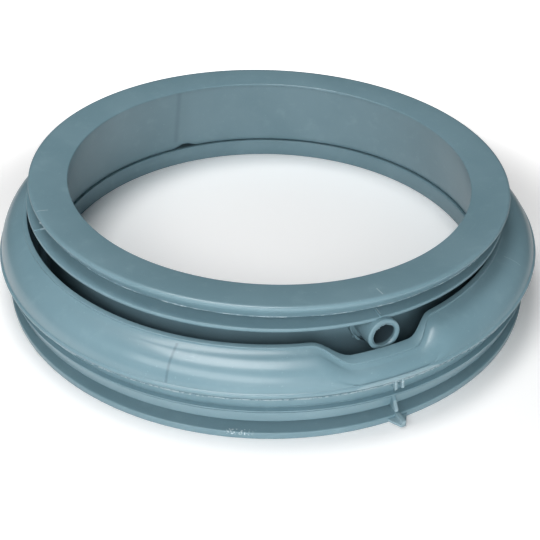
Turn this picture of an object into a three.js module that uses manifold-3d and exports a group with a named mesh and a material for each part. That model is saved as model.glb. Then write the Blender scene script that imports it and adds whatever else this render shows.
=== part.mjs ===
// Door seal of a front-loading washing machine: one moulding of grey-blue rubber.
// It stands on its drum-side flange, with the sealing face that the door closes on at the top.
// Millimetres, +Z up along the seal's axis, the hose nozzle and the alignment pointer towards -Y.
import * as THREE from "three";
import { mergeVertices } from "three/addons/utils/BufferGeometryUtils.js";
import Module from "manifold-3d";

const wasm = await Module();
wasm.setup();

// Front ring, which the door and the machine's front panel meet
const mouthRadius = 150;
const faceWidth = 26.8;
const faceDish = 4.2;
const faceRounding = 3;
const mouthEdge = 1.4;
const lipDepth = 9.8;
const lipUndercut = 3.8;
const panelGrooveHeight = 5.2;
const panelGrooveDepth = 6.4;
const ribThickness = 2.7;
const ribReach = 0.9;

// Thin skin that runs down from the front ring, folds up to a crest and swells into the bulge
const skin = 3.3;
const mouthOverhang = 3.2;
const foldClearance = 1.9;
const foldGap = 7.5;
const crestRadius = 177.1;
const crestWidth = 3.4;
const crestBead = 1.1;
const shoulderHeight = 21.9;
const shoulderCrown = 3.8;
const neckDrop = 2.6;
const bulgeRadius = 203.4;
const bulgeBead = 1.6;

// Drum-side ring, which clips into the drum housing and takes the clamp band
const tubWallRadius = 197.2;
const tubWallThickness = 4.1;
const tubWallHeight = 13.5;
const underside = 6;
const ridgeHeight = 2;
const ridgeStand = 0.8;
const bandRadius = 199.6;
const bandHeight = 9.4;
const bandTaper = 1.7;
const tubGrooveHeight = 6.9;
const tubGrooveDepth = 11.6;
const flangeRadius = 201;
const flangeThickness = 5.1;
const baseBoreRadius = 170.6;
const baseBoreTaper = 2;
const baseRingHeight = 16.6;

// How far the soft rings lean as the seal lies unfitted: degrees, and the side that lies lowest.
// They slide a little over each other too: the crest all the way, the rib less, the face back.
const frontLean = 1.56;
const frontLeanSide = 20.6;
const crestLean = 1.67;
const crestLeanSide = -11.2;
const bulgeLean = 0.75;
const bulgeLeanSide = -110;
const crestSlide = 3.5;
const crestSlideSide = -112.7;
const ribSlide = 0.4;
const faceSlide = -0.4;

// Notch in the crest that leaves room for the hose on the nozzle
const notchFloorWidth = 37;
const notchMouthWidth = 80;
const notchDrop = 5.5;
const notchPush = 11.2;
const notchSkirt = 10;

// Drain arch in the foot of the fold, nearly opposite the nozzle
const drainSide = -174;
const drainWidth = 36;
const drainHeight = 3.4;

// Hose nozzle and the raised collar round its root
const nozzleRadius = 10.6;
const nozzleBoreRadius = 7.5;
const nozzleReach = 181.5;
const nozzleHeight = 53.7;
const nozzleRise = 5;
const nozzleRounding = 1.4;
const collarGap = 2.6;
const collarThickness = 1.4;
const collarStand = 3;

// Alignment pointer on the flange and the fins in line with it
const pointerAcross = 3.7;
const pointerReach = 7.8;
const pointerSpread = 16.5;
const pointerUnderside = 1.5;
const pointerThickness = 1.9;
const pointerRidgeWidth = 3.1;
const pointerRidgeStand = 1.3;
const wedgeThickness = 2.2;
const wedgeStand = 5.2;
const wedgeEnd = 2;
const smallFinThickness = 1.8;
const smallFinStand = 7;
const smallFinSpacing = 4.6;
const smallFinHeight = 6;

const segments = 96;
const nozzleSegments = 28;
const embed = 2;

const radians = THREE.MathUtils.degToRad;

// Heights stack up from the flange's underside
const tubGrooveTop = flangeThickness + tubGrooveHeight;
const bandTop = tubGrooveTop + bandHeight;
const ridgeTop = bandTop + ridgeHeight;
const bulgeEdge = ridgeTop + tubWallHeight;
const crestHeight = bulgeEdge + shoulderHeight;
const ribUnderside = crestHeight + foldGap;
const ribTop = ribUnderside + ribThickness;
const lipEdge = ribTop + panelGrooveHeight;
const frontHeight = lipEdge + lipDepth;
const foldFoot = baseRingHeight + foldClearance;

// Radii that follow from the driving ones
const frontRadius = mouthRadius + faceWidth;
const ribRadius = frontRadius + ribReach;
const lipEdgeRadius = frontRadius - lipUndercut;
const panelGrooveFloor = lipEdgeRadius - panelGrooveDepth;
const tubGrooveFloor = bandRadius - tubGrooveDepth;
const tubWallInside = tubWallRadius - tubWallThickness;
const baseTopRadius = baseBoreRadius - baseBoreTaper;
const mouthHeight = frontHeight - faceDish;
const wallTop = { radius: mouthRadius + mouthOverhang, height: mouthHeight - mouthOverhang };
const wallFoot = { radius: baseTopRadius, height: foldFoot + skin };

// Inside radius of the sloping inner wall at a height
function wallRadius(height) {
  const share = (wallTop.height - height) / (wallTop.height - wallFoot.height);
  return wallTop.radius + share * (wallFoot.radius - wallTop.radius);
}

// One corner of the section: radius, height, and its share in each of the soft movements
function corner(radius, height, shares = {}) {
  const still = { front: 0, crest: 0, bulge: 0, slide: 0, push: 0, drop: 0, drain: 0 };
  return { radius, height, ...still, ...shares };
}

// The shoulder from the bulge's edge up to the crest, inset by a wall thickness
function shoulder(steps, inset) {
  const start = { radius: bulgeRadius - bulgeBead, height: bulgeEdge + bulgeBead };
  const end = { radius: crestRadius + crestWidth + skin, height: crestHeight - neckDrop };
  const run = Math.hypot(end.radius - start.radius, end.height - start.height);
  const outward = { radius: (end.height - start.height) / run, height: (start.radius - end.radius) / run };
  return steps.map((share) => {
    const lift = 4 * shoulderCrown * share * (1 - share) - inset;
    return corner(
      start.radius + share * (end.radius - start.radius) + lift * outward.radius,
      start.height + share * (end.height - start.height) + lift * outward.height,
      { crest: share, slide: share, bulge: 1 - share, push: share, drop: Math.min(1, 3 * share) },
    );
  });
}

// The flange, the groove for the drum housing's edge, the clamp band's seat and its ridge
function drumRing() {
  return [
    corner(baseBoreRadius, 0),
    corner(flangeRadius, 0),
    corner(flangeRadius, flangeThickness),
    corner(tubGrooveFloor, flangeThickness),
    corner(tubGrooveFloor, tubGrooveTop),
    corner(bandRadius - bandTaper, tubGrooveTop),
    corner(bandRadius, bandTop),
    corner(bandRadius + ridgeStand, bandTop + ridgeHeight / 2),
    corner(tubWallRadius, ridgeTop),
  ];
}

function bulge() {
  return [
    corner(tubWallRadius, bulgeEdge - underside, { bulge: 0.7 }),
    corner(bulgeRadius - bulgeBead, bulgeEdge - bulgeBead, { bulge: 1 }),
    corner(bulgeRadius, bulgeEdge, { bulge: 1 }),
    ...shoulder([0, 0.18, 0.4, 0.62, 0.82, 1], 0),
  ];
}

// The crest, the outside of the fold below it and the outside of the inner wall
function fold() {
  const outside = { crest: 1, slide: 1, push: 1.1, drop: 1 };
  const inside = { crest: 1, slide: 1, push: 0.74, drop: 0.95 };
  return [
    corner(crestRadius + crestWidth, crestHeight - crestBead, outside),
    corner(crestRadius + crestWidth, crestHeight, outside),
    corner(crestRadius, crestHeight, inside),
    corner(crestRadius, crestHeight - notchSkirt, inside),
    corner(crestRadius, foldFoot + 2 * skin),
    corner((crestRadius + wallRadius(foldFoot) + skin) / 2, foldFoot + skin, { drain: 1 }),
    corner(wallRadius(foldFoot + 2 * skin) + skin, foldFoot + 2 * skin, { drain: 0.5 }),
    corner(wallRadius(ribUnderside - skin) + skin, ribUnderside - skin, { front: 1 }),
    corner(wallRadius(ribUnderside) + 2 * skin, ribUnderside, { front: 1 }),
  ];
}

// The rib, the groove for the front panel's edge, the lip and the sealing face
function frontRing() {
  const round = 0.3 * faceRounding;
  const rib = [
    [ribRadius - ribThickness / 2, ribUnderside],
    [ribRadius, ribUnderside + ribThickness / 2],
    [ribRadius - ribThickness / 2, ribTop],
  ].map(([radius, height]) => corner(radius, height, { front: 1, slide: ribSlide }));
  const face = [
    [panelGrooveFloor, ribTop],
    [panelGrooveFloor, lipEdge],
    [lipEdgeRadius, lipEdge],
    [frontRadius, frontHeight - faceRounding],
    [frontRadius - round, frontHeight - round],
    [frontRadius - faceRounding, frontHeight],
    [mouthRadius, mouthHeight],
    [mouthRadius, mouthHeight - mouthEdge],
    [wallTop.radius, wallTop.height],
  ].map(([radius, height]) => corner(radius, height, { front: 1, slide: faceSlide }));
  return [...rib, ...face];
}

// The foot of the inner wall and the pocket between the fold and the bulge, open to the inside
function pocket() {
  return [
    corner(wallFoot.radius, wallFoot.height, { drain: 1 }),
    corner(wallFoot.radius + skin / 2, foldFoot, { drain: 1 }),
    corner(crestRadius, foldFoot, { drain: 1 }),
    corner(crestRadius + skin, foldFoot + skin),
    corner(crestRadius + skin, crestHeight - notchSkirt, { crest: 1, slide: 1, push: 0.74, drop: 0.95 }),
    corner(crestRadius + skin, crestHeight - neckDrop - skin, { crest: 1, slide: 1, push: 0.74, drop: 0.8 }),
    ...shoulder([0.9, 0.6, 0.3, 0.1], skin),
    corner(tubWallInside, bulgeEdge - underside, { bulge: 0.7 }),
    corner(tubWallInside, baseRingHeight),
    corner(baseTopRadius, baseRingHeight),
  ];
}

// How deep a place round the seal lies in the notch: 1 on its floor, 0 outside it
function notchDepth(azimuth) {
  const across = crestRadius * Math.abs(azimuth);
  const share = (notchMouthWidth / 2 - across) / ((notchMouthWidth - notchFloorWidth) / 2);
  return THREE.MathUtils.smoothstep(share, 0, 1);
}

// How high a place round the seal lies under the drain arch: 1 at its crown, 0 outside it
function drainDepth(azimuth) {
  const turn = azimuth - radians(drainSide);
  const apart = Math.abs(Math.atan2(Math.sin(turn), Math.cos(turn)));
  const share = Math.min(1, (2 * wallFoot.radius * apart) / drainWidth);
  return Math.cos((Math.PI / 2) * share) ** 2;
}

// Where a corner of the section lies at an azimuth, let down, slid and notched by its shares
function settled(point, azimuth) {
  const drop = (lean, side) => point.radius * Math.sin(radians(lean)) * Math.cos(azimuth - radians(side));
  const notch = notchDepth(azimuth);
  const radius = point.radius + point.push * notch * notchPush;
  const slide = point.slide * crestSlide;
  const height = point.height
    - point.front * drop(frontLean, frontLeanSide)
    - point.crest * drop(crestLean, crestLeanSide)
    - point.bulge * drop(bulgeLean, bulgeLeanSide)
    - point.drop * notch * notchDrop
    + point.drain * drainDepth(azimuth) * drainHeight;
  return new THREE.Vector3(
    radius * Math.sin(azimuth) + slide * Math.sin(radians(crestSlideSide)),
    -radius * Math.cos(azimuth) - slide * Math.cos(radians(crestSlideSide)),
    height,
  );
}

// The section, counter-clockwise, turned round the seal's axis and settled corner by corner
function sealRing() {
  const corners = [...drumRing(), ...bulge(), ...fold(), ...frontRing(), ...pocket()];
  const outline = corners.map((point) => new THREE.Vector2(point.radius, point.height));
  outline.push(outline[0].clone());
  const geometry = new THREE.LatheGeometry(outline, segments);
  const position = geometry.getAttribute("position");
  for (let index = 0; index < position.count; index += 1) {
    const point = corners[(index % outline.length) % corners.length];
    const step = Math.floor(index / outline.length) % segments;
    const turned = (2 * Math.PI * step) / segments;
    const azimuth = turned > Math.PI ? turned - 2 * Math.PI : turned;
    const place = settled(point, azimuth);
    position.setXYZ(index, place.x, place.y, place.z);
  }
  return geometry;
}

// A turned piece on the nozzle's axis, its corners [distance from that axis, distance inwards]
function alongNozzle(corners) {
  const outline = corners.map(([radius, inwards]) => new THREE.Vector2(radius, -inwards));
  const geometry = new THREE.LatheGeometry(outline, nozzleSegments);
  geometry.rotateX(Math.PI - radians(nozzleRise));
  geometry.translate(0, -nozzleReach, nozzleHeight);
  return geometry;
}

// Anything turned about the seal's own axis, its corners [radius, height]
function aboutAxis(corners) {
  const outline = corners.map(([radius, height]) => new THREE.Vector2(radius, height));
  return new THREE.LatheGeometry(outline, segments).rotateX(Math.PI / 2);
}

// A flat fin that stands on the outside at the nozzle's side, its corners [radius, height]
function fin(corners, thickness, across = 0) {
  const outline = new THREE.Shape(corners.map(([radius, height]) => new THREE.Vector2(radius, height)));
  const geometry = new THREE.ExtrudeGeometry(outline, { depth: thickness, bevelEnabled: false });
  geometry.translate(0, 0, -thickness / 2);
  const outwards = new THREE.Vector3(0, -1, 0);
  const upwards = new THREE.Vector3(0, 0, 1);
  const sideways = new THREE.Vector3(-1, 0, 0);
  geometry.applyMatrix4(new THREE.Matrix4().makeBasis(outwards, upwards, sideways));
  return geometry.translate(across, 0, 0);
}

// The pointer's web: a flat triangle that reaches out from the flange's edge
function pointerWeb() {
  const root = flangeRadius - embed;
  const tip = flangeRadius + pointerReach;
  const outline = new THREE.Shape([
    new THREE.Vector2(-pointerRidgeWidth / 2, -tip),
    new THREE.Vector2(pointerRidgeWidth / 2, -tip),
    new THREE.Vector2(pointerSpread / 2, -root),
    new THREE.Vector2(-pointerSpread / 2, -root),
  ]);
  const geometry = new THREE.ExtrudeGeometry(outline, { depth: pointerThickness, bevelEnabled: false });
  return geometry.translate(pointerAcross, 0, pointerUnderside);
}

function solid(geometry) {
  const bare = geometry.clone();
  bare.deleteAttribute("normal");
  bare.deleteAttribute("uv");
  const merged = mergeVertices(bare, 1e-4);
  const vertProperties = new Float32Array(merged.getAttribute("position").array);
  const triVerts = new Uint32Array(merged.getIndex().array);
  return new wasm.Manifold(new wasm.Mesh({ numProp: 3, vertProperties, triVerts }));
}

function surface(body) {
  const mesh = body.getMesh();
  const geometry = new THREE.BufferGeometry();
  geometry.setAttribute("position", new THREE.BufferAttribute(mesh.vertProperties, 3));
  geometry.setIndex(new THREE.BufferAttribute(mesh.triVerts, 1));
  geometry.computeVertexNormals();
  return geometry;
}

// Nozzle and collar, cut off in the middle of the wall that they grow from
function nozzle() {
  const wallInwards = nozzleReach - wallRadius(nozzleHeight) - skin;
  const deep = wallInwards + 3 * skin;
  const collarInside = nozzleRadius + collarGap;
  const collarOutside = collarInside + collarThickness;
  const tube = alongNozzle([
    [0, deep],
    [nozzleRadius, deep],
    [nozzleRadius, nozzleRounding],
    [nozzleRadius - nozzleRounding, 0],
    [0, 0],
  ]);
  const collar = alongNozzle([
    [collarInside, deep],
    [collarOutside, deep],
    [collarOutside, wallInwards - collarStand],
    [collarInside, wallInwards - collarStand],
    [collarInside, deep],
  ]);
  const inside = aboutAxis([
    [0, wallFoot.height],
    [wallRadius(wallFoot.height) + skin / 2, wallFoot.height],
    [wallRadius(wallTop.height) + skin / 2, wallTop.height],
    [0, wallTop.height],
  ]);
  return solid(tube).add(solid(collar)).subtract(solid(inside));
}

function nozzleBore() {
  const through = nozzleReach - wallRadius(nozzleHeight) + 3 * skin;
  return alongNozzle([
    [0, through],
    [nozzleBoreRadius, through],
    [nozzleBoreRadius, -embed],
    [0, -embed],
  ]);
}

function fins() {
  const tip = flangeRadius + pointerReach;
  const ridgeFoot = pointerUnderside + pointerThickness / 2;
  const pointerRidge = fin([
    [tubGrooveFloor - embed, ridgeFoot],
    [tip, ridgeFoot],
    [tip, flangeThickness + pointerRidgeStand],
    [tubGrooveFloor - embed, flangeThickness + pointerRidgeStand],
  ], pointerRidgeWidth, pointerAcross);
  const wedge = fin([
    [bandRadius - bandTaper - embed, tubGrooveTop],
    [bandRadius + wedgeStand, tubGrooveTop],
    [bandRadius + wedgeStand, tubGrooveTop + wedgeEnd],
    [bandRadius, bandTop],
    [bandRadius - embed, bandTop],
  ], wedgeThickness);
  const finTop = bulgeEdge - bulgeBead;
  const small = [-1, 1].map((side) => fin([
    [tubWallRadius - embed, finTop - smallFinHeight],
    [tubWallRadius + smallFinStand, finTop - smallFinHeight],
    [tubWallRadius + smallFinStand - bulgeBead, finTop + embed],
    [tubWallRadius - embed, finTop + embed],
  ], smallFinThickness, (side * smallFinSpacing) / 2));
  return [pointerRidge, pointerWeb(), wedge, ...small];
}

function doorSeal() {
  const ring = solid(sealRing()).add(nozzle());
  const finned = fins().reduce((body, geometry) => body.add(solid(geometry)), ring);
  return surface(finned.subtract(solid(nozzleBore())));
}

const rubber = new THREE.MeshStandardMaterial({ color: 0x778f97, roughness: 0.5, metalness: 0 });
const seal = new THREE.Mesh(doorSeal(), rubber);
seal.name = "door_seal";

const group = new THREE.Group();
group.add(seal);

export default group;
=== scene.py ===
import math

import bpy
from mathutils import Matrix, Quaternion, Vector, noise
from mathutils.kdtree import KDTree


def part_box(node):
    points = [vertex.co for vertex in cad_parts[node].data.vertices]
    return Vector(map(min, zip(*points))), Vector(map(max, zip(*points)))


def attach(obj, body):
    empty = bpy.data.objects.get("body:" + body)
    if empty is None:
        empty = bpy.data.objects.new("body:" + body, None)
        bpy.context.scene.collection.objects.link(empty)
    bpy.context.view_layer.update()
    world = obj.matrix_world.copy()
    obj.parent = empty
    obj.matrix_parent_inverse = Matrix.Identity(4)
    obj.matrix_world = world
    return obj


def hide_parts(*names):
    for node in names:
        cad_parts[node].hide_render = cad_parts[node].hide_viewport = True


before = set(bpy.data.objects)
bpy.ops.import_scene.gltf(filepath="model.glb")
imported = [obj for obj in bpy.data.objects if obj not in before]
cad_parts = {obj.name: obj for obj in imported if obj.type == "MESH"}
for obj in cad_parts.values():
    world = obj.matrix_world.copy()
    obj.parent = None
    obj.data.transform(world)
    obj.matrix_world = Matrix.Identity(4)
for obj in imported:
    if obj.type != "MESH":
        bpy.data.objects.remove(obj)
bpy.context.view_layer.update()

bpy.ops.object.select_all(action="DESELECT")


# The viewpoint: the seal stands loose on a pale table, and the camera looks down on it from a
# little to the left of its hose nozzle, about 0.6 m from the middle of its base.
view_distance = 0.5953
view_elevation = math.radians(34.26)
view_side = math.radians(-22.7)
view_roll = math.radians(0.91)
sensor_width = 36
focal_pixels = 723.4
frame_pixels = 540
aim_right_pixels = -2.95
aim_up_pixels = 21.4

camera_place = view_distance * Vector((
    math.cos(view_elevation) * math.sin(view_side),
    -math.cos(view_elevation) * math.cos(view_side),
    math.sin(view_elevation),
))
bpy.ops.object.camera_add(location=camera_place)
camera = bpy.context.object
camera.name = "camera"
look = (-camera_place).to_track_quat("-Z", "Y") @ Quaternion((0, 0, 1), view_roll)
camera.rotation_euler = look.to_euler()
camera.data.sensor_width = sensor_width
camera.data.lens = sensor_width * focal_pixels / frame_pixels
camera.data.shift_x = -aim_right_pixels / frame_pixels
camera.data.shift_y = -aim_up_pixels / frame_pixels
camera.data.clip_start = 0.01
bpy.context.scene.camera = camera


# The seal's ring: one moulding of grey-blue rubber, made in a split mould. Its section runs from
# the flange that clips into the drum housing, out over the soft bulge and up to the crest, down
# into the fold, and up the inner wall to the front ring that the door closes on.
mm = 0.001
lowest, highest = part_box("door_seal")
bulge_radius = highest[0] / mm
pointer_tip = -lowest[1] / mm

flange_inset = 2.4
flange_radius = bulge_radius - flange_inset
flange_thickness = 5.1
base_bore_radius = 170.6
base_top_radius = 168.6
base_top = 16.6
housing_groove_floor = 188
housing_groove_top = 12
band_foot_radius = 197.9
band_radius = 199.6
band_top = 21.0
ridge_top = 23.4
ridge_stand = 0.8
ridge_groove_depth = 1.3
tub_wall_radius = 197.2
tub_wall_inside = 193.1

bulge_edge = 36.9
bulge_bead = 1.5
flash_inset = 1.3
flash_radius = bulge_radius - flash_inset
flash_drop = 3.2
bead_groove_depth = 2
bead_groove_top = 1.7
bead_angles = range(-80, 71, 15)
underside = 6
shoulder_crown = 3.8
shoulder_steps = 14
neck_height = 56.2
crest_radius = 177.1
crest_width = 3.4
crest_height = 58.8
skin = 3.3
fold_foot = 17.7
notch_skirt = 10
dry_steps = 10

mouth_radius = 150
mouth_height = 79.8
mouth_edge = 1.7
mouth_undercut = 2.5
wall_inset = 3.2
wall_steps = 14
front_radius = 176.8
front_height = 84
lip_edge = 74.2
lip_edge_radius = 173
lip_overhang = 1.8
lip_rounding = 3.2
panel_groove_floor = 166.6
rib_top = 69
rib_underside = 66.3
rib_radius = 177.7

nozzle_radius = 10.6
nozzle_bore = 7.5
nozzle_reach = 181.5
nozzle_height = 53.7
nozzle_rise = math.radians(5)

leans = {"front": (1.56, 20.6), "crest": (1.67, -11.2), "bulge": (0.75, -110)}
crest_slide = 3.5
slide_side = math.radians(-112.7)
rib_slide = 0.4
face_slide = -0.4
notch_floor_width = 37
notch_mouth_width = 80
notch_drop = 7
notch_push = 11.2
drain_side = math.radians(-174)
drain_width = 27
drain_height = 3.1
movements = ("front", "crest", "bulge", "slide", "push", "drop", "drain")
ring_steps = 360
least_turn = math.radians(6)
arc_step = 22
weld = 2e-6


def corner(radius, height, rounding=0.4, **shares):
    """One corner of the section, with its share in each of the soft movements"""
    place = {"radius": radius, "height": height, "rounding": rounding}
    return {**place, **dict.fromkeys(movements, 0), **shares}


def between(first, last, steps):
    """Corners along a straight stretch, which share its ends' movements in turn"""
    return [
        {key: first[key] + (last[key] - first[key]) * step / steps for key in first}
        | {"rounding": 0}
        for step in range(1, steps)
    ]


def rounded(corners):
    """The closed section with each corner cut to an arc of its rounding"""
    points = []
    for before, here, after in zip(corners[-1:] + corners[:-1], corners, corners[1:] + corners[:1]):
        place = Vector((here["radius"], here["height"]))
        back = Vector((before["radius"], before["height"])) - place
        ahead = Vector((after["radius"], after["height"])) - place
        turn = math.pi - back.angle(ahead)
        if here["rounding"] == 0 or turn < least_turn:
            points.append(here)
            continue
        reach = min(here["rounding"] * math.tan(turn / 2), 0.45 * back.length, 0.45 * ahead.length)
        start = place + reach * back.normalized()
        end = place + reach * ahead.normalized()
        steps = max(2, round(math.degrees(turn) / arc_step))
        for step in range(steps + 1):
            share = step / steps
            bend = start.lerp(place, share).lerp(place.lerp(end, share), share)
            points.append({**here, "radius": bend.x, "height": bend.y})
    return points


def shoulder(steps, inset):
    """The crowned wall from the bulge's edge up to the crest's neck"""
    start = Vector((bulge_radius - bulge_bead, bulge_edge + bulge_bead))
    end = Vector((crest_radius + crest_width + skin, neck_height))
    run = end - start
    outwards = Vector((run.y, -run.x)).normalized()
    points = []
    for share in steps:
        lift = 4 * shoulder_crown * share * (1 - share) - inset
        place = start + share * run + lift * outwards
        shares = {"crest": share, "slide": share, "bulge": 1 - share, "push": share}
        points.append(corner(place.x, place.y, 0, drop=min(1, 3 * share), **shares))
    return points


def notch_depth(azimuth):
    """Share of the notch's full depth at an azimuth"""
    across = crest_radius * abs(azimuth)
    share = (notch_mouth_width / 2 - across) / ((notch_mouth_width - notch_floor_width) / 2)
    share = min(1, max(0, share))
    return share * share * (3 - 2 * share)


def drain_depth(azimuth):
    """Share of the drain arch's full height at an azimuth"""
    turn = azimuth - drain_side
    apart = abs(math.atan2(math.sin(turn), math.cos(turn)))
    return math.cos(math.pi / 2 * min(1, 2 * base_top_radius * apart / drain_width)) ** 2


def settled(point, azimuth):
    """Where a point of the section lies at an azimuth as the loose seal settles, in metres"""
    radius = point["radius"] + point["push"] * notch_depth(azimuth) * notch_push
    slide = point["slide"] * crest_slide
    height = point["height"] + point["drain"] * drain_depth(azimuth) * drain_height
    height -= point["drop"] * notch_depth(azimuth) * notch_drop
    for soft, (lean, side) in leans.items():
        slope = math.sin(math.radians(lean))
        drop = point["radius"] * slope * math.cos(azimuth - math.radians(side))
        height -= point[soft] * drop
    return mm * Vector((
        radius * math.sin(azimuth) + slide * math.sin(slide_side),
        -radius * math.cos(azimuth) - slide * math.cos(slide_side),
        height,
    ))


drum_ring = [
    corner(base_bore_radius, 0, 0.9),
    corner(flange_radius, 0, 0.6),
    corner(flange_radius, flange_thickness, 0.9),
    corner(housing_groove_floor, flange_thickness, 0.7),
    corner(housing_groove_floor, housing_groove_top, 0.7),
    corner(band_foot_radius, housing_groove_top, 0.5),
    corner(band_radius - 0.1, band_top - 0.4, 0.15),
    corner(band_radius - ridge_groove_depth, band_top - 0.3, 0.15),
    corner(band_radius - ridge_groove_depth, band_top + 0.6, 0.15),
    corner(band_radius + ridge_stand, band_top + 1, 0.3),
    corner(band_radius + ridge_stand - 0.1, band_top + 1.8, 0.3),
    corner(tub_wall_radius - 0.5, ridge_top - 0.9, 0.2),
    corner(tub_wall_radius, ridge_top + 0.8, 1),
]
bead = [
    corner(
        bulge_radius - bulge_bead + bulge_bead * math.cos(math.radians(angle)),
        bulge_edge + bulge_bead * math.sin(math.radians(angle)), 0, bulge=1,
    )
    for angle in bead_angles
]
bulge = [
    corner(tub_wall_radius, bulge_edge - underside, 1.6, bulge=0.7),
    corner(flash_radius, bulge_edge - flash_drop, 0.2, bulge=1),
    corner(flash_radius, bulge_edge - flash_drop + 0.5, 0.1, bulge=1),
    corner(flash_radius - bead_groove_depth, bulge_edge - flash_drop + 0.8, 0.2, bulge=1),
    corner(flash_radius - bead_groove_depth, bulge_edge - bead_groove_top, 0.2, bulge=1),
    *bead,
    *shoulder([step / shoulder_steps for step in range(shoulder_steps + 1)], 0),
]


def wall_radius(height):
    """Inside radius of the sloping inner wall at a height"""
    share = (wall_top["height"] - height) / (wall_top["height"] - wall_foot["height"])
    return wall_top["radius"] + share * (wall_foot["radius"] - wall_top["radius"])


on_face = {"front": 1, "slide": face_slide}
on_rib = {"front": 1, "slide": rib_slide}
on_crest = {"crest": 1, "slide": 1, "push": 0.74, "drop": 0.95}
on_crest_rim = {"crest": 1, "slide": 1, "push": 1.1, "drop": 1}
wall_top = corner(mouth_radius + wall_inset, mouth_height - wall_inset, 1.2, **on_face)
wall_foot = corner(base_top_radius, fold_foot + skin, 0.6, drain=1)
dry_low = fold_foot + 2 * skin
dry_high = rib_underside - skin
dry_foot = corner(wall_radius(dry_low) + skin, dry_low, 1.5, drain=0.5)
dry_head = corner(wall_radius(dry_high) + skin, dry_high, 2, front=1)
fold = [
    corner(crest_radius + crest_width, crest_height - 1.3, 0.3, **on_crest_rim),
    corner(crest_radius + crest_width, crest_height, 0.5, **on_crest_rim),
    corner(crest_radius, crest_height, 0.5, **on_crest),
    corner(crest_radius, crest_height - notch_skirt, 3, **on_crest),
    corner(crest_radius, dry_low, 3),
    corner((crest_radius + wall_radius(fold_foot) + skin) / 2, fold_foot + skin, 2, drain=1),
    dry_foot,
    *between(dry_foot, dry_head, dry_steps),
    dry_head,
    corner(wall_radius(rib_underside) + 2 * skin, rib_underside, 1.2, front=1),
]
front_ring = [
    corner(rib_radius - 0.3, rib_underside, 1.1, **on_rib),
    corner(rib_radius, (rib_underside + rib_top) / 2, 1.1, **on_rib),
    corner(rib_radius - 0.3, rib_top, 1.1, **on_rib),
    corner(panel_groove_floor, rib_top, 0.5, **on_face),
    corner(panel_groove_floor, lip_edge, 0.5, **on_face),
    corner(lip_edge_radius, lip_edge, 0.2, **on_face),
    corner(front_radius + lip_overhang, front_height + 0.3, lip_rounding, **on_face),
    corner(mouth_radius, mouth_height, 0.9, **on_face),
    corner(mouth_radius, mouth_height - mouth_edge, 0.3, **on_face),
    corner(mouth_radius + mouth_undercut, mouth_height - mouth_edge - 0.1, 0.4, **on_face),
]
inner_wall = [wall_top, *between(wall_top, wall_foot, wall_steps), wall_foot]
inset_low = corner(crest_radius + skin, fold_foot + skin, 2)
inset_high = corner(crest_radius + skin, neck_height - skin, 2, **{**on_crest, "drop": 0.8})
pocket = [
    corner(base_top_radius + skin / 2, fold_foot, 0.7, drain=1),
    corner(crest_radius, fold_foot, 1.5, drain=1),
    inset_low,
    corner(crest_radius + skin, crest_height - notch_skirt, 3, **on_crest),
    inset_high,
    *shoulder([0.9, 0.75, 0.6, 0.45, 0.3, 0.15], skin),
    corner(tub_wall_inside, bulge_edge - underside, 1, bulge=0.7),
    corner(tub_wall_inside, base_top, 2),
    corner(base_top_radius, base_top, 0.6),
    corner(base_top_radius - 0.25, base_top - 1.2, 0.4),
    corner(base_top_radius + 0.35, base_top - 1.6, 0.2),
    corner(base_top_radius + 0.1, base_top - 2.1, 0.3),
]
section = rounded([*drum_ring, *bulge, *fold, *front_ring, *inner_wall, *pocket])

bpy.ops.mesh.primitive_circle_add(vertices=len(section), fill_type="NOTHING")
ring = bpy.context.object
ring.name = ring.data.name = "seal_ring"
for vertex, point in zip(ring.data.vertices, section):
    vertex.co = (mm * point["radius"], 0, mm * point["height"])
bpy.ops.object.mode_set(mode="EDIT")
bpy.ops.mesh.select_all(action="SELECT")
bpy.ops.mesh.spin(steps=ring_steps, angle=2 * math.pi, center=(0, 0, 0), axis=(0, 0, 1))
bpy.ops.mesh.select_all(action="SELECT")
bpy.ops.mesh.remove_doubles(threshold=weld)
bpy.ops.mesh.normals_make_consistent(inside=False)
bpy.ops.object.mode_set(mode="OBJECT")

section_places = KDTree(len(section))
for index, point in enumerate(section):
    section_places.insert((mm * point["radius"], mm * point["height"], 0), index)
section_places.balance()
for vertex in ring.data.vertices:
    radius = math.hypot(vertex.co.x, vertex.co.y)
    azimuth = math.atan2(vertex.co.x, -vertex.co.y)
    point = section[section_places.find((radius, vertex.co.z, 0))[1]]
    vertex.co = settled(point, azimuth)


# Rubber: a satin grey-blue compound, a little cloudy and finely grained by the mould. It is scuffed
# on the sealing face, scratched and chipped in places, and the mould's joints show as fine dark
# lines. Painted shade darkens it deep in the fold and in the bore, and painted highlights make the
# flash, webs and pointer pale.
rubber_light = (121, 151, 162)
rubber_dark = (113, 144, 155)
bloom_colour = (148, 177, 187)
chip_and_glint_colour = (205, 220, 225)
web_and_tip_highlight_colour = (176, 196, 203)
joint_colour = (66, 94, 105)
fold_shade_colour = (36, 48, 56)
bore_shade_colour = (30, 40, 48)

joint_side = math.radians(-39)
joint_width = 1.3
joint_start = 183
joint_foot = 38
rubbed_side = joint_side + 0.09
rubbed_start = 186
rubbed_foot = 40
seam_side = math.radians(-170.3)
seam_width = 4
seam_end = 169
seam_head = 82.5
scratch_side = math.radians(40.5)
scratch_line = 0.3
scratch_start = 182.5
scratch_end = 194.5
scratch_foot = 35
chip_side = math.radians(-27)
chip_start = 198.5
chip_foot = 3
chip_head = 7
left_web_side = math.radians(-83.5)
web_start = 167.2
web_end = 174.5
web_foot = 64
web_line = 0.4
tip_start = 201.5
fold_slope = 0.277
fold_start = 176
fold_end = 177.5
fold_dusk = 56
fold_dark = 42
nozzle_clear = 11.5
bore_end = 150
flash_line = 0.5
face_low = 73.5
face_high = 76.5
seam_low = 20
seam_full = 30
sharp_angle = math.radians(40)


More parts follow.
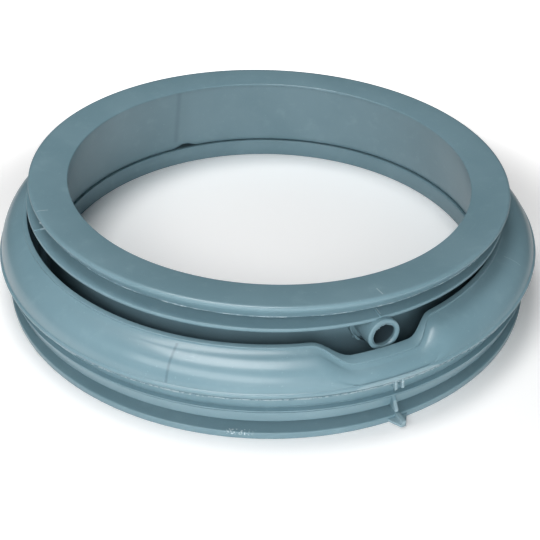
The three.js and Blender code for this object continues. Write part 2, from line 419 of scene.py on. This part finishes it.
def paint(red, green, blue):
    """An 8-bit screen colour as the shader wants it"""
    def linear(level):
        level /= 255
        return level / 12.92 if level <= 0.04045 else ((level + 0.055) / 1.055) ** 2.4
    return (linear(red), linear(green), linear(blue), 1)


class Amount:
    """What one socket gives; arithmetic on it adds Math nodes to its finish"""

    def __init__(self, finish, socket):
        self.finish = finish
        self.socket = socket

    def maths(self, operation, *others):
        inputs = dict(enumerate((self, *others)))
        return self.finish.add("ShaderNodeMath", {"operation": operation}, inputs)

    def __add__(self, other):
        return self.maths("ADD", other)

    def __sub__(self, other):
        return self.maths("SUBTRACT", other)

    def __rsub__(self, other):
        return self * -1 + other

    def __mul__(self, other):
        return self.maths("MULTIPLY", other)

    def __lt__(self, other):
        return self.maths("LESS_THAN", other)

    def __gt__(self, other):
        return self.maths("GREATER_THAN", other)

    def __abs__(self):
        return self.maths("ABSOLUTE")

    __radd__ = __add__
    __rmul__ = __mul__


class Finish:
    """A material and its nodes"""

    def __init__(self, name):
        self.material = bpy.data.materials.new(name)
        self.material.use_nodes = True
        self.tree = self.material.node_tree
        self.shader = self.tree.nodes["Principled BSDF"]

    def fill(self, node, inputs):
        for key, value in inputs.items():
            if isinstance(value, Amount):
                self.tree.links.new(value.socket, node.inputs[key])
            else:
                node.inputs[key].default_value = value

    def add(self, kind, settings=None, inputs=None, output=0):
        node = self.tree.nodes.new(kind)
        for key, value in (settings or {}).items():
            setattr(node, key, value)
        self.fill(node, inputs or {})
        return Amount(self, node.outputs[output])

    def mix(self, share, first, second):
        """One colour laid over another by a share of 0 to 1"""
        return self.add("ShaderNodeMix", {"data_type": "RGBA"}, {0: share, 6: first, 7: second}, 2)

    def noise(self, place, scale, detail=2, roughness=0.5):
        inputs = {"Vector": place, "Scale": scale, "Detail": detail, "Roughness": roughness}
        return self.add("ShaderNodeTexNoise", {}, inputs)

    def ramp(self, value, low, high):
        """A value eased from 0 at low to 1 at high"""
        inputs = {"Value": value, "From Min": low, "From Max": high}
        return self.add("ShaderNodeMapRange", {"interpolation_type": "SMOOTHSTEP"}, inputs)


rubber = Finish("grey_rubber")
place = rubber.add("ShaderNodeTexCoord", output="Object")
x, y, z = (rubber.add("ShaderNodeSeparateXYZ", {}, {0: place}, axis) for axis in range(3))
out = (x * x + y * y).maths("SQRT")
turn = x.maths("ARCTAN2", -1 * y)

clouds = rubber.noise(place, 16, 3)
smudges = rubber.noise(place, 75, 4, 0.6)
grain = rubber.noise(place, 1700, 2)
specks = rubber.ramp(rubber.noise(place, 620, 1), 0.71, 0.78)
wound = rubber.add("ShaderNodeCombineXYZ", {}, {0: out * 1400, 1: turn * 9, 2: z * 200})
scuffs = rubber.ramp(rubber.noise(wound, 1, 3, 0.6), 0.66, 0.74)
face_scuffs = scuffs * rubber.ramp(z, mm * face_low, mm * face_high)
face_scuffs = face_scuffs * rubber.ramp(clouds, 0.45, 0.6)


def level(soft):
    """A point's height over the ground, less the lean of one of the seal's rings"""
    lean, side = (math.radians(angle) for angle in leans[soft])
    return z + math.sin(lean) * (x * math.sin(side) - y * math.cos(side))


def beside(side):
    """A point's distance round the seal from a line down it at a side"""
    return abs(turn - side) * out


def within(value, low, high):
    """1 where a length lies between two limits in millimetres, else 0"""
    return (value > mm * low) * (value < mm * high)


# Painted highlight: the ragged flash on the lip's edge and under the bead is painted pale where it
# would catch the light
ragged = rubber.ramp(rubber.noise(place, 230, 3, 0.7), 0.42, 0.58)
on_lip = abs(level("front") - mm * (lip_edge + 0.1)) < mm * flash_line
on_lip = on_lip * (out > mm * (lip_edge_radius - 0.8))
on_bead = abs(level("bulge") - mm * (bulge_edge - 3)) < mm * flash_line
on_bead = on_bead * (out > mm * (flash_radius - 0.3))
painted_flash_glint = (on_lip + on_bead) * ragged

joint = 1 - rubber.ramp(beside(joint_side), 0.2 * joint_width * mm, joint_width * mm)
joint = joint * (out > mm * joint_start) * (z > mm * joint_foot)
seam = 1 - rubber.ramp(beside(seam_side), 0, seam_width * mm)
seam = seam * (out < mm * seam_end) * (z < mm * seam_head)
seam = seam * rubber.ramp(z, mm * seam_low, mm * seam_full)
scratch = (beside(scratch_side) < mm * scratch_line) * within(out, scratch_start, scratch_end)
scratch = scratch * (z > mm * scratch_foot)
rubbed = rubber.ramp(abs(turn - rubbed_side), 0.07, 0.02)
rubbed = rubbed * (out > mm * rubbed_start) * (z > mm * rubbed_foot)
chipped = rubber.ramp(abs(turn - chip_side), 0.05, 0.02)
chipped = chipped * (out > mm * chip_start) * within(z, chip_foot, chip_head)
chips = rubber.ramp(rubber.noise(place, 900, 1), 0.56, 0.6) * chipped
# Painted highlight: the raised webs across the panel groove are painted pale as if lit
painted_web_highlight = (beside(0) < mm * web_line) + (beside(left_web_side) < mm * web_line)
painted_web_highlight = painted_web_highlight * within(out, web_start, web_end) * (z > mm * web_foot)
# Painted light: whatever stands nearer the front than the flange's edge, mainly the pointer's tip,
# is painted paler as if lit from above
painted_tip_light = y < -mm * tip_start

# Painted shade: deep in the fold, away from the nozzle, the rubber is painted dark for the shade
# there
painted_fold_shade = (out + fold_slope * z > mm * fold_start) * (out < mm * fold_end)
painted_fold_shade = painted_fold_shade * rubber.ramp(z, mm * fold_dusk, mm * fold_dark)
nozzle_strip = (abs(x) < mm * nozzle_clear) * (y < 0) * (z > mm * fold_dark)
painted_fold_shade = painted_fold_shade * (1 - nozzle_strip)
# Painted shade: the nozzle's bore is painted dark inside
sunk = z - mm * nozzle_height + math.tan(nozzle_rise) * (y + mm * nozzle_reach)
painted_bore_shade = (x * x + sunk * sunk).maths("SQRT") < mm * (nozzle_bore + 0.3)
painted_bore_shade = painted_bore_shade * (y < -mm * bore_end)
painted_bore_shade = painted_bore_shade * rubber.ramp(y, -mm * (nozzle_reach - 1), -mm * (nozzle_reach - 3))

tone = rubber.mix(rubber.ramp(clouds, 0.3, 0.7), paint(*rubber_light), paint(*rubber_dark))
bloomed = rubber.ramp(smudges, 0.5, 0.85) * 0.25 + specks * 0.3 + face_scuffs * 0.4
bloomed = bloomed + scratch * 0.7 + rubbed * rubber.ramp(scuffs, 0, 1) * 0.8
for share, colour in (
    (bloomed, bloom_colour),
    (painted_fold_shade * 0.6, fold_shade_colour),
    (painted_web_highlight * 0.6 + painted_tip_light * 0.3, web_and_tip_highlight_colour),
    (chips * 0.8 + painted_flash_glint * 0.5, chip_and_glint_colour),
    (joint * 0.4 + seam * 0.25, joint_colour),
    (painted_bore_shade * 0.85, bore_shade_colour),
):
    tone = rubber.mix(share, tone, paint(*colour))
relief = grain * 0.04 + smudges * 0.03 - face_scuffs * 0.03 - joint * 0.1
bump = rubber.add("ShaderNodeBump", {}, {"Strength": 0.6, "Distance": mm, "Height": relief})
rubber.fill(rubber.shader, {
    "Base Color": tone,
    "Roughness": 0.1 * smudges + 0.1 * face_scuffs + 0.29,
    "Normal": bump,
    "IOR": 1.5,
    "Coat Weight": 0.4,
    "Coat Roughness": 0.15,
})


def finished(piece):
    """Gives a piece the rubber, smooth faces and its place on the seal's body"""
    bpy.ops.object.select_all(action="DESELECT")
    piece.select_set(True)
    bpy.context.view_layer.objects.active = piece
    bpy.ops.object.shade_smooth_by_angle(angle=sharp_angle)
    piece.data.materials.clear()
    piece.data.materials.append(rubber.material)
    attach(piece, "root")


# The hose nozzle: a short thick-walled spout that grows out of the inner wall under the rib, with
# a bore right through the wall for the spray water. The mould left its rim rounded.
nozzle_deep = 23.5
nozzle_rounding = 2.2
nozzle_steps = 96
bore_cut_length = 20
bore_cut_middle = 25
nozzle_mouth = mm * Vector((0, -nozzle_reach, nozzle_height))
nozzle_tilt = (math.pi / 2 - nozzle_rise, 0, 0)


def turned(name, outline):
    """A closed outline of [distance from the nozzle's axis, distance inwards], turned about it"""
    bpy.ops.mesh.primitive_circle_add(vertices=len(outline), fill_type="NOTHING")
    piece = bpy.context.object
    piece.name = piece.data.name = name
    for vertex, (radius, inwards) in zip(piece.data.vertices, outline):
        vertex.co = (mm * radius, 0, -mm * inwards)
    bpy.ops.object.mode_set(mode="EDIT")
    bpy.ops.mesh.select_all(action="SELECT")
    bpy.ops.mesh.spin(steps=nozzle_steps, angle=2 * math.pi, center=(0, 0, 0), axis=(0, 0, 1))
    bpy.ops.mesh.select_all(action="SELECT")
    bpy.ops.mesh.remove_doubles(threshold=weld)
    bpy.ops.mesh.normals_make_consistent(inside=False)
    bpy.ops.object.mode_set(mode="OBJECT")
    piece.location = nozzle_mouth
    piece.rotation_euler = nozzle_tilt
    bpy.ops.object.transform_apply(location=True, rotation=True, scale=True)
    return piece


nozzle_section = rounded([
    corner(nozzle_bore, nozzle_deep, 0),
    corner(nozzle_radius, nozzle_deep, 0),
    corner(nozzle_radius, 0, nozzle_rounding),
    corner(nozzle_bore + 0.9, 0, 0.3),
    corner(nozzle_bore, 0.9, 0.3),
])
finished(turned("hose_nozzle", [(point["radius"], point["height"]) for point in nozzle_section]))

inwards = Vector((0, math.cos(nozzle_rise), -math.sin(nozzle_rise)))
bpy.ops.mesh.primitive_cylinder_add(
    vertices=nozzle_steps,
    radius=mm * (nozzle_bore + 0.05),
    depth=mm * bore_cut_length,
    location=nozzle_mouth + mm * bore_cut_middle * inwards,
    rotation=nozzle_tilt,
)
bore = bpy.context.object
bpy.context.view_layer.objects.active = ring
cut = ring.modifiers.new("bore", "BOOLEAN")
cut.operation = "DIFFERENCE"
cut.object = bore
bpy.ops.object.modifier_apply(modifier=cut.name)
bpy.data.objects.remove(bore)
finished(ring)
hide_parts("door_seal")


# The collar: a thin raised rib round the nozzle's root, moulded with the wall, which stops a hose
# that is pushed over the nozzle from rubbing on the thin skin.
collar_gap = 2.6
collar_thickness = 1.2
collar_stand = 3
collar_start = 10
collar_inside = nozzle_radius + collar_gap
collar = turned("nozzle_collar", [
    (collar_inside, nozzle_deep),
    (collar_inside + collar_thickness, nozzle_deep),
    (collar_inside + collar_thickness, collar_start),
    (collar_inside + collar_thickness / 2, collar_start - 0.3),
    (collar_inside, collar_start),
])
lean, side = (math.radians(angle) for angle in leans["front"])
collar_drop = 0.4 * nozzle_reach * math.sin(lean * math.cos(side))
for vertex in collar.data.vertices:
    outside = wall_radius(vertex.co.z / mm + collar_drop) + skin
    stand = math.sqrt(max(0, (mm * outside) ** 2 - vertex.co.x ** 2))
    if vertex.co.y < -stand:
        vertex.co.y = -stand - mm * collar_stand
finished(collar)


# The alignment pointer on the flange, the wedge above it and the small fins under the bulge: they
# stand in line with the nozzle and show the fitter which way up the seal goes.
pointer_across = 3.7
pointer_spread = 16.5
pointer_underside = 1.5
pointer_thickness = 1.9
pointer_ridge_width = 3.1
pointer_ridge_foot = pointer_underside + 1
pointer_ridge_top = flange_thickness + 1.3
wedge_thickness = 2.2
wedge_stand = 5.2
small_fin_thickness = 1.8
small_fin_reach = tub_wall_radius + 7
small_fin_spacing = 4.6
small_fin_height = 6.5
embed = 2


def plate(name, outline, depth, edge=0.35):
    """A flat plate of the given outline, pulled through its depth, with its edges eased"""
    bpy.ops.mesh.primitive_circle_add(vertices=len(outline), fill_type="NGON")
    piece = bpy.context.object
    piece.name = piece.data.name = name
    for vertex, place in zip(piece.data.vertices, outline):
        vertex.co = mm * Vector(place)
    bpy.ops.object.mode_set(mode="EDIT")
    bpy.ops.mesh.select_all(action="SELECT")
    bpy.ops.mesh.extrude_region_move(TRANSFORM_OT_translate={"value": mm * Vector(depth)})
    bpy.ops.mesh.select_all(action="SELECT")
    bpy.ops.mesh.normals_make_consistent(inside=False)
    bpy.ops.object.mode_set(mode="OBJECT")
    soften = piece.modifiers.new("soften", "BEVEL")
    soften.width = mm * edge
    soften.segments = 2
    bpy.ops.object.modifier_apply(modifier=soften.name)
    finished(piece)


def upright(name, outline, thickness, across=0):
    """A fin that stands in the plane through the nozzle, its outline as [radius, height]"""
    side = across - thickness / 2
    plate(name, [(side, -radius, height) for radius, height in outline], (thickness, 0, 0))


upright("pointer_ridge", [
    (housing_groove_floor - embed, pointer_ridge_foot),
    (pointer_tip, pointer_ridge_foot),
    (pointer_tip, pointer_ridge_top),
    (housing_groove_floor - embed, pointer_ridge_top),
], pointer_ridge_width, pointer_across)
plate("pointer_web", [
    (pointer_across - pointer_ridge_width / 2, -pointer_tip, pointer_underside),
    (pointer_across + pointer_ridge_width / 2, -pointer_tip, pointer_underside),
    (pointer_across + pointer_spread / 2, embed - flange_radius, pointer_underside),
    (pointer_across - pointer_spread / 2, embed - flange_radius, pointer_underside),
], (0, 0, pointer_thickness))
upright("band_wedge", [
    (band_foot_radius - embed, housing_groove_top),
    (band_radius + wedge_stand, housing_groove_top),
    (band_radius + wedge_stand, housing_groove_top + embed),
    (band_radius, ridge_top - embed),
    (band_radius - embed, ridge_top - embed),
], wedge_thickness)
for side, name in ((-1, "left"), (1, "right")):
    upright("small_fin_" + name, [
        (tub_wall_radius - embed, bulge_edge - small_fin_height),
        (small_fin_reach, bulge_edge - small_fin_height),
        (small_fin_reach - bulge_bead, bulge_edge),
        (tub_wall_radius - embed, bulge_edge),
    ], small_fin_thickness, side * small_fin_spacing / 2)


# Where the mould's parts met, two thin raised lines cross the panel groove, from the rib's edge up
# to the lip's. A third one runs down the tub wall under the small fins.
web_thickness = 0.7
web_stand = 0.8
web_edge = 0.1
wall_web_stand = 1.6
wall_web_across = 1.2
for azimuth, name in ((0, "groove_web_near"), (left_web_side, "groove_web_left")):
    across = web_thickness * Vector((math.cos(azimuth), math.sin(azimuth), 0))
    edge = [
        (panel_groove_floor - 1, rib_top - 1),
        (rib_radius - 0.6, rib_top - 0.5),
        (rib_radius - 0.6, rib_top + web_stand),
        (panel_groove_floor + web_stand, rib_top + web_stand),
        (panel_groove_floor + web_stand, lip_edge - web_stand),
        (lip_edge_radius - 0.2, lip_edge - web_stand),
        (lip_edge_radius - 0.2, lip_edge + 0.6),
        (panel_groove_floor - 1, lip_edge + 1),
    ]
    outline = [settled(corner(*place, **on_rib), azimuth) / mm - across / 2 for place in edge]
    plate(name, outline, across, web_edge)
upright("wall_web", [
    (tub_wall_radius - embed, ridge_top - 0.5),
    (tub_wall_radius + wall_web_stand, ridge_top - 0.5),
    (tub_wall_radius + wall_web_stand - 0.6, bulge_edge - underside),
    (tub_wall_radius - embed, bulge_edge - underside),
], web_thickness, wall_web_across)


# Flash: the thin ragged skin of rubber that squeezed out along the mould's joints, on the lip's
# sharp edge, under the bulge's bead, round part of the nozzle's bore and at the far side of the
# mouth. It was never trimmed.
flash_thickness = 0.12
flash_steps = 1440
flash_ease = 0.02


def thickened(piece, thickness):
    """Gives a skin its thickness and finishes it"""
    thick = piece.modifiers.new("thick", "SOLIDIFY")
    thick.thickness = mm * thickness
    thick.offset = 0
    bpy.ops.object.modifier_apply(modifier=thick.name)
    finished(piece)


def flash(name, root, reach, length, seed, middle=0, half=180):
    """A ragged fin round the seal, or part of it, that grows from a point of the section"""
    bpy.ops.mesh.primitive_circle_add(vertices=flash_steps, fill_type="NOTHING")
    piece = bpy.context.object
    piece.name = piece.data.name = name
    bpy.ops.object.mode_set(mode="EDIT")
    bpy.ops.mesh.select_all(action="SELECT")
    bpy.ops.mesh.extrude_edges_move()
    bpy.ops.mesh.select_all(action="DESELECT")
    bpy.ops.object.mode_set(mode="OBJECT")
    for index, vertex in enumerate(piece.data.vertices):
        azimuth = 2 * math.pi * (index % flash_steps) / flash_steps
        apart = azimuth - math.radians(middle)
        apart = abs(math.atan2(math.sin(apart), math.cos(apart)))
        vertex.select = apart > math.radians(half)
        grown = 0
        if index >= flash_steps:
            around = 40 * Vector((math.cos(azimuth), math.sin(azimuth), seed))
            wide = noise.noise(0.2 * around)
            grown = length * max(0.1, 0.45 + 0.5 * wide + 0.35 * noise.noise(around))
            grown *= min(1, max(0.1, (math.radians(half) - apart) / flash_ease))
        point = {
            **root,
            "radius": root["radius"] + grown * reach[0],
            "height": root["height"] + grown * reach[1],
        }
        vertex.co = settled(point, azimuth)
    bpy.ops.object.mode_set(mode="EDIT")
    bpy.ops.mesh.delete(type="VERT")
    bpy.ops.object.mode_set(mode="OBJECT")
    thickened(piece, flash_thickness)


flash("lip_flash", corner(lip_edge_radius, lip_edge + 0.1, **on_face), (0.8, -0.6), 0.6, 1)
flash("bead_flash", corner(flash_radius - 0.1, bulge_edge - 2.9, bulge=1), (0.8, -0.5), 0.8, 2)

bore_flash_side = math.radians(125)
bore_flash_reach = 1.1
bore_flash_deep = 1.3
bpy.ops.mesh.primitive_circle_add(vertices=nozzle_steps, fill_type="NOTHING")
bore_flash = bpy.context.object
bore_flash.name = bore_flash.data.name = "bore_flash"
bpy.ops.object.mode_set(mode="EDIT")
bpy.ops.mesh.select_all(action="SELECT")
bpy.ops.mesh.extrude_edges_move()
bpy.ops.object.mode_set(mode="OBJECT")
for index, vertex in enumerate(bore_flash.data.vertices):
    around = 2 * math.pi * (index % nozzle_steps) / nozzle_steps
    radius = nozzle_bore + 0.3
    if index >= nozzle_steps:
        roughness = noise.noise(9 * Vector((math.cos(around), math.sin(around), 4)))
        covered = max(0, math.cos(around - bore_flash_side) + 0.25)
        radius = nozzle_bore - covered * bore_flash_reach * (1 + roughness)
    across = radius * math.cos(around)
    vertex.co = mm * Vector((across, radius * math.sin(around), -bore_flash_deep))
bore_flash.location = nozzle_mouth
bore_flash.rotation_euler = nozzle_tilt
bpy.ops.object.transform_apply(location=True, rotation=True, scale=True)
thickened(bore_flash, 3 * flash_thickness)

mouth_root = corner(mouth_radius + 0.2, mouth_height - 1.2, **on_face)
flash("mouth_flash", mouth_root, (-0.9, -0.3), 1.6, 3, middle=138, half=8.5)


# The table: a wide white top that the seal stands on, under a low lamp and a wide softbox from the
# camera's side and a lamp nearly overhead. It is part of the picture and not of the seal.
table_width = 6
table_tone = 0.85
seen_lift = 0.26
far_glow = 0.9
glow_start = 0.24
glow_full = 0.42
sky_light = 0.01
lamp_distance = 1.1
bpy.ops.mesh.primitive_plane_add(size=table_width)
table = bpy.context.object
table.name = "table"
white = Finish("white_table")
seen = white.add("ShaderNodeLightPath", output="Is Camera Ray")
matt = white.add("ShaderNodeBsdfDiffuse", {}, {"Color": (table_tone, table_tone, table_tone, 1)})
paler = white.add("ShaderNodeBsdfDiffuse", {}, {"Color": (seen_lift, seen_lift, seen_lift, 1)})
# Painted brightness: for the camera only, the table glows beyond 0.24 m from the seal's middle, so
# it shows white there while nearer the seal it keeps its lit tone and shadows
glow = white.add("ShaderNodeEmission", {}, {"Color": (1, 1, 1, 1), "Strength": far_glow})
on_table = white.add("ShaderNodeTexCoord", output="Object")
away = white.add("ShaderNodeVectorMath", {"operation": "LENGTH"}, {0: on_table}, 1)
far = white.ramp(away, glow_start, glow_full)
open_floor = white.add("ShaderNodeAddShader", {}, {0: matt, 1: paler})
lit = white.add("ShaderNodeAddShader", {}, {0: open_floor, 1: glow})
bright = white.add("ShaderNodeMixShader", {}, {0: far, 1: open_floor, 2: lit})
shown = white.add("ShaderNodeMixShader", {}, {0: seen, 1: matt, 2: bright})
white.tree.links.new(shown.socket, white.tree.nodes["Material Output"].inputs["Surface"])
table.data.materials.append(white.material)

world = bpy.context.scene.world or bpy.data.worlds.new("world")
bpy.context.scene.world = world
world.use_nodes = True
sky = world.node_tree
dim = sky.nodes["Background"]
dim.inputs["Strength"].default_value = sky_light
backdrop = sky.nodes.new("ShaderNodeBackground")
backdrop.inputs["Strength"].default_value = 1
ray = sky.nodes.new("ShaderNodeLightPath")
either = sky.nodes.new("ShaderNodeMixShader")
for shade in (dim, backdrop):
    shade.inputs["Color"].default_value = (1, 1, 1, 1)
sky.links.new(ray.outputs["Is Camera Ray"], either.inputs[0])
sky.links.new(dim.outputs["Background"], either.inputs[1])
sky.links.new(backdrop.outputs["Background"], either.inputs[2])
sky.links.new(either.outputs["Shader"], sky.nodes["World Output"].inputs["Surface"])


def lamp(name, side, elevation, size, power):
    """A soft lamp aimed at the seal, its side measured from the camera towards the right"""
    azimuth = view_side + math.radians(side)
    lift = math.radians(elevation)
    place = lamp_distance * Vector((
        math.cos(lift) * math.sin(azimuth), -math.cos(lift) * math.cos(azimuth), math.sin(lift),
    ))
    bpy.ops.object.light_add(type="AREA", location=place)
    light = bpy.context.object
    light.name = name
    light.rotation_euler = (-place).to_track_quat("-Z", "Y").to_euler()
    light.data.shape = "RECTANGLE"
    light.data.size, light.data.size_y = size
    light.data.energy = power
    return light


lamp("low", 6, 16, (0.8, 0.8), 7.6).visible_glossy = False
lamp("softbox", -22, 40, (0.9, 0.4), 4.2)
lamp("overhead", -90, 82, (0.5, 0.5), 6)

bpy.context.scene.view_settings.view_transform = "Standard"
